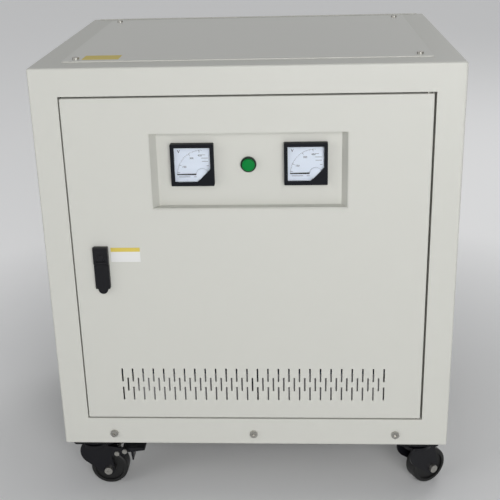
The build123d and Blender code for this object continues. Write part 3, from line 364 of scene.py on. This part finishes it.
# ---------------------------------------------------------------- blank stickers
frame_low, frame_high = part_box("enclosure_frame")
cover_low, cover_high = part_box("top_cover")
door_low, door_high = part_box("door_panel")
lock_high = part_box("lock_body")[1]
STICKER = 0.15 * MM
COVER_STICKER_SIZE = (66 * MM, 40 * MM, STICKER)
LABEL_WIDTH = 54 * MM
LABEL_HEIGHT = 20 * MM
LABEL_HEAD = 8 * MM

block(COVER_STICKER_SIZE, (cover_low.x + 66 * MM, cover_low.y + 34 * MM, cover_high.z + STICKER / 2))
settle("cover_sticker", tag_yellow, "cabinet")

label_x = lock_high.x + 31 * MM
label_y = door_low.y - STICKER / 2
block((LABEL_WIDTH, STICKER, LABEL_HEIGHT), (label_x, label_y, lock_high.z - 21 * MM))
settle("door_sticker", tag_white, "door")
block((LABEL_WIDTH, STICKER, LABEL_HEAD), (label_x, label_y, lock_high.z - 7 * MM))
settle("door_sticker_head", tag_yellow, "door")

# ---------------------------------------------------------------- seam on the back edge of the top
SEAM_DEPTH = 5 * MM
SEAM_HEIGHT = 1.6 * MM
seam_length = frame_high.x - frame_low.x - 30 * MM
block(
    (seam_length, SEAM_DEPTH, SEAM_HEIGHT),
    (0, frame_high.y - 9 * MM, frame_high.z + SEAM_HEIGHT / 2),
)
bevel_all(0.5 * MM)
settle("back_seam", cabinet_paint, "cabinet")

# ---------------------------------------------------------------- door seal
SEAL = 10 * MM
SEAL_THICKNESS = 5 * MM
HINGE_ROOM = 36 * MM  # left free for the door's swing
LIP_DEPTH = 24 * MM
seal_left = door_low.x - 2 * MM
seal_right = door_high.x - HINGE_ROOM
seal_low = door_low.z - 2 * MM
seal_high = door_high.z + 3 * MM
seal_y = frame_low.y + LIP_DEPTH - SEAL_THICKNESS / 2
run = seal_right - seal_left
upright = seal_high - seal_low - 2 * SEAL
seal_parts = [
    block((run, SEAL_THICKNESS, SEAL), ((seal_left + seal_right) / 2, seal_y, seal_low + SEAL / 2)),
    block((run, SEAL_THICKNESS, SEAL), ((seal_left + seal_right) / 2, seal_y, seal_high - SEAL / 2)),
    block((SEAL, SEAL_THICKNESS, upright), (seal_left + SEAL / 2, seal_y, (seal_low + seal_high) / 2)),
]
join(seal_parts)
bevel_all(1.5 * MM)
settle("door_seal", pad_rubber, "cabinet")

# ---------------------------------------------------------------- stage
deselect()
bpy.ops.mesh.primitive_plane_add(size=30, location=(0, 0, 0))
floor = bpy.context.object
floor.name = "floor"
floor_paint = shade("floor_pale", (0.80, 0.80, 0.80), 0.9, specular=0.1)
floor.data.materials.append(floor_paint)
floor_tree = floor_paint.node_tree
floor_shader = floor_tree.nodes["Principled BSDF"]
floor_path = floor_tree.nodes.new("ShaderNodeLightPath")
floor_lift = floor_tree.nodes.new("ShaderNodeMath")
floor_lift.operation = "MULTIPLY"
floor_place = floor_tree.nodes.new("ShaderNodeTexCoord")
floor_reach = floor_tree.nodes.new("ShaderNodeVectorMath")
floor_reach.operation = "LENGTH"
floor_fade = floor_tree.nodes.new("ShaderNodeMapRange")
floor_fade.inputs["From Min"].default_value = 0.45
floor_fade.inputs["From Max"].default_value = 1.3
floor_fade.inputs["To Max"].default_value = 0.28
floor_tree.links.new(floor_place.outputs["Object"], floor_reach.inputs[0])
floor_tree.links.new(floor_reach.outputs["Value"], floor_fade.inputs["Value"])
floor_tree.links.new(floor_fade.outputs["Result"], floor_lift.inputs[1])
floor_shader.inputs["Emission Color"].default_value = (1.0, 1.0, 1.0, 1.0)
floor_tree.links.new(floor_path.outputs["Is Camera Ray"], floor_lift.inputs[0])
floor_tree.links.new(floor_lift.outputs["Value"], floor_shader.inputs["Emission Strength"])

world = bpy.data.worlds.new("studio")
bpy.context.scene.world = world
world.use_nodes = True
tree = world.node_tree
soft = tree.nodes["Background"]
soft.inputs["Color"].default_value = (0.95, 0.97, 1.0, 1.0)
soft.inputs["Strength"].default_value = 0.25
seen = tree.nodes.new("ShaderNodeBackground")
seen.inputs["Color"].default_value = (0.62, 0.62, 0.62, 1.0)
seen.inputs["Strength"].default_value = 1.0
path = tree.nodes.new("ShaderNodeLightPath")
mix = tree.nodes.new("ShaderNodeMixShader")
either = [tree.nodes.new("ShaderNodeMath") for step in range(2)]
for step in either:
    step.operation = "MAXIMUM"
tree.links.new(path.outputs["Is Camera Ray"], either[0].inputs[0])
tree.links.new(path.outputs["Is Glossy Ray"], either[0].inputs[1])
tree.links.new(either[0].outputs["Value"], either[1].inputs[0])
tree.links.new(path.outputs["Is Transmission Ray"], either[1].inputs[1])
tree.links.new(either[1].outputs["Value"], mix.inputs[0])
tree.links.new(soft.outputs["Background"], mix.inputs[1])
tree.links.new(seen.outputs["Background"], mix.inputs[2])
tree.links.new(mix.outputs["Shader"], tree.nodes["World Output"].inputs["Surface"])


def lamp(name, place, target, size, power):
    """Soft square lamp turned towards a point."""
    light = bpy.data.lights.new(name, "AREA")
    light.shape = "SQUARE"
    light.size = size
    light.energy = power
    stand = bpy.data.objects.new(name, light)
    bpy.context.scene.collection.objects.link(stand)
    stand.location = place
    stand.rotation_euler = (Vector(target) - Vector(place)).to_track_quat("-Z", "Y").to_euler()


lamp("front_lamp", (0.9, -3.9, 1.5), (0, 0, 0.45), 2.4, 98)
lamp("side_lamp", (-3.4, -2.2, 1.6), (0, 0, 0.5), 2.0, 24)
lamp("back_lamp", (1.6, 2.4, 3.0), (0, 0, 0.5), 1.6, 22)

# ---------------------------------------------------------------- camera
CAMERA_PLACE = Vector((0.0844, -1.8239, 1.1528))
CAMERA_YAW = math.radians(-3.41)
CAMERA_PITCH = math.radians(20.13)
CAMERA_ROLL = math.radians(-1.58)

ahead = Vector(
    (
        math.sin(CAMERA_YAW) * math.cos(CAMERA_PITCH),
        math.cos(CAMERA_YAW) * math.cos(CAMERA_PITCH),
        -math.sin(CAMERA_PITCH),
    )
)
level = Vector((math.cos(CAMERA_YAW), -math.sin(CAMERA_YAW), 0.0))
upright_view = level.cross(ahead)
across = level * math.cos(CAMERA_ROLL) + upright_view * math.sin(CAMERA_ROLL)
upward = upright_view * math.cos(CAMERA_ROLL) - level * math.sin(CAMERA_ROLL)
turn = Matrix((across, upward, -ahead)).transposed().to_4x4()

view = bpy.data.cameras.new("camera")
view.sensor_width = 36.0
view.lens = 65.9
view.shift_x = 0.0116
view.shift_y = -0.0706
view.clip_start = 0.05
camera = bpy.data.objects.new("camera", view)
camera.matrix_world = Matrix.Translation(CAMERA_PLACE) @ turn
bpy.context.scene.collection.objects.link(camera)
bpy.context.scene.camera = camera
bpy.context.scene.view_settings.view_transform = "Standard"

deselect()
